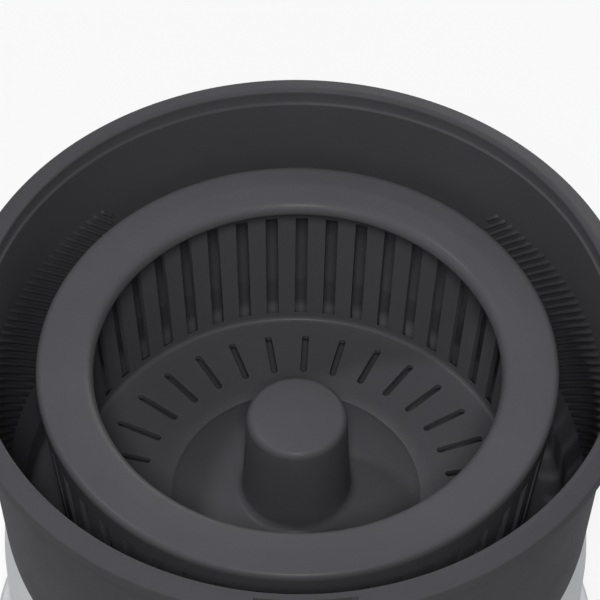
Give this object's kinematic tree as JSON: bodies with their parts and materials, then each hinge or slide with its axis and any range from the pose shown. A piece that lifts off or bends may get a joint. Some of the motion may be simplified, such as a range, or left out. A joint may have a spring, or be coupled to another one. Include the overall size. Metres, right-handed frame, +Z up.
{
  "type": "electric potato peeler",
  "caption": "Round countertop electric potato peeler, open, with a slotted spin basket in its ribbed bowl and a turn knob on a white motor housing.",
  "frame": {"origin": "on the table, on the axis of the spindle, bowl and basket", "axes": "+Z up along the spindle, front with the knob faces -Y, cord gland at +Y"},
  "size_m": [0.222, 0.222, 0.19],
  "materials": {
    "shell_white": "satin moulded plastic",
    "base_white": "moulded plastic",
    "bowl_charcoal": "fine satin texture",
    "basket_charcoal": "fine satin texture",
    "knob_grey": "satin",
    "pointer_white": "satin",
    "ring_silver": "spun",
    "steel": "drawn",
    "zinc_steel": "zinc plated",
    "bronze": "sintered",
    "brass": "stamped",
    "rubber_black": "matt",
    "case_grey": "glass filled",
    "gear_ivory": "moulded acetal",
    "black_plastic": "moulded",
    "can_steel": "nickel plated",
    "magnet": "ferrite",
    "carbon": "pressed",
    "copper": "enamelled wire",
    "board_green": "solder mask",
    "capacitor_blue": "printed sleeve",
    "wire_brown": "insulation",
    "wire_red": "insulation",
    "core_steel": "laminated"
  },
  "bodies": {
    "housing": {"housing_shell": "shell_white", "base_plate": "base_white", "base_screws": "zinc_steel", "rubber_feet": "rubber_black", "gear_case": "case_grey", "gear_cover": "case_grey", "gear_case_screws": "zinc_steel", "spindle_bush_lower": "bronze", "spindle_bush_upper": "bronze", "spindle_seal": "rubber_black", "layshaft_pin": "steel", "motor_can": "can_steel", "motor_end_cap": "black_plastic", "motor_magnets": "magnet", "motor_bushes": "bronze", "motor_screws": "zinc_steel", "brush_holders": "brass", "carbon_brushes": "carbon", "rotary_switch": "black_plastic", "switch_nut": "zinc_steel", "dial_ring": "ring_silver", "circuit_board": "board_green", "board_screws": "zinc_steel", "rectifier": "black_plastic", "capacitor": "capacitor_blue", "terminal_block": "base_white", "cord_gland": "rubber_black", "cord_clamp": "base_white", "clamp_screws": "zinc_steel", "interlock_bracket": "base_white", "interlock_switch": "black_plastic", "interlock_spring": "steel", "mains_wires": "wire_brown", "motor_wires": "wire_red"},
    "knob": {"knob": "knob_grey", "knob_pointer": "pointer_white", "switch_shaft": "steel"},
    "plunger": {"interlock_plunger": "base_white"},
    "spindle": {"spindle": "steel", "spindle_gear": "gear_ivory", "drive_dog": "black_plastic", "dog_pin": "steel"},
    "layshaft": {"lay_gear": "gear_ivory"},
    "rotor": {"motor_shaft": "steel", "rotor_core": "core_steel", "rotor_windings": "copper", "commutator": "copper", "motor_pinion": "brass"},
    "bowl": {"bowl": "bowl_charcoal", "bowl_bush_lower": "bronze", "bowl_bush_upper": "bronze"},
    "drive": {"drive_shaft": "steel", "drive_coupling": "black_plastic", "coupling_pin": "steel", "drive_washer": "steel", "basket_driver": "black_plastic", "driver_screw": "zinc_steel"},
    "basket": {"basket": "basket_charcoal", "basket_socket": "black_plastic"}
  },
  "joints": [
    {"name": "knob_turn", "type": "hinge", "parent": "housing", "child": "knob", "pos_m": [0, -0.10202, 0.056], "axis": [0, -1, 0.0059], "range_deg": [-90, 0]},
    {"name": "bowl_lift", "type": "slide", "parent": "housing", "child": "bowl", "axis": [0, 0, 1], "range_m": [0, 0.1]},
    {"name": "plunger_travel", "type": "slide", "parent": "housing", "child": "plunger", "axis": [0, 0, 1], "range_m": [0, 0.003], "deforming": ["interlock_spring"]},
    {"name": "spindle_spin", "type": "hinge", "parent": "housing", "child": "spindle", "pos_m": [0, 0, 0.06], "axis": [0, 0, 1], "continuous": true},
    {"name": "layshaft_spin", "type": "hinge", "parent": "housing", "child": "layshaft", "pos_m": [-0.04547, 0.02625, 0.06], "axis": [0, 0, 1], "continuous": true},
    {"name": "rotor_spin", "type": "hinge", "parent": "housing", "child": "rotor", "pos_m": [-0.02171, 0.05001, 0.04], "axis": [0, 0, 1], "continuous": true},
    {"name": "drive_spin", "type": "hinge", "parent": "bowl", "child": "drive", "pos_m": [0, 0, 0.12], "axis": [0, 0, 1], "continuous": true},
    {"name": "basket_lift", "type": "slide", "parent": "drive", "child": "basket", "axis": [0, 0, 1], "range_m": [0, 0.11]}
  ],
  "couplings": [
    {"joint": "plunger_travel", "follows": "bowl_lift", "ratio": 0.03},
    {"joint": "layshaft_spin", "follows": "spindle_spin", "ratio": -5},
    {"joint": "rotor_spin", "follows": "spindle_spin", "ratio": 30},
    {"joint": "drive_spin", "follows": "spindle_spin", "ratio": 1}
  ]
}
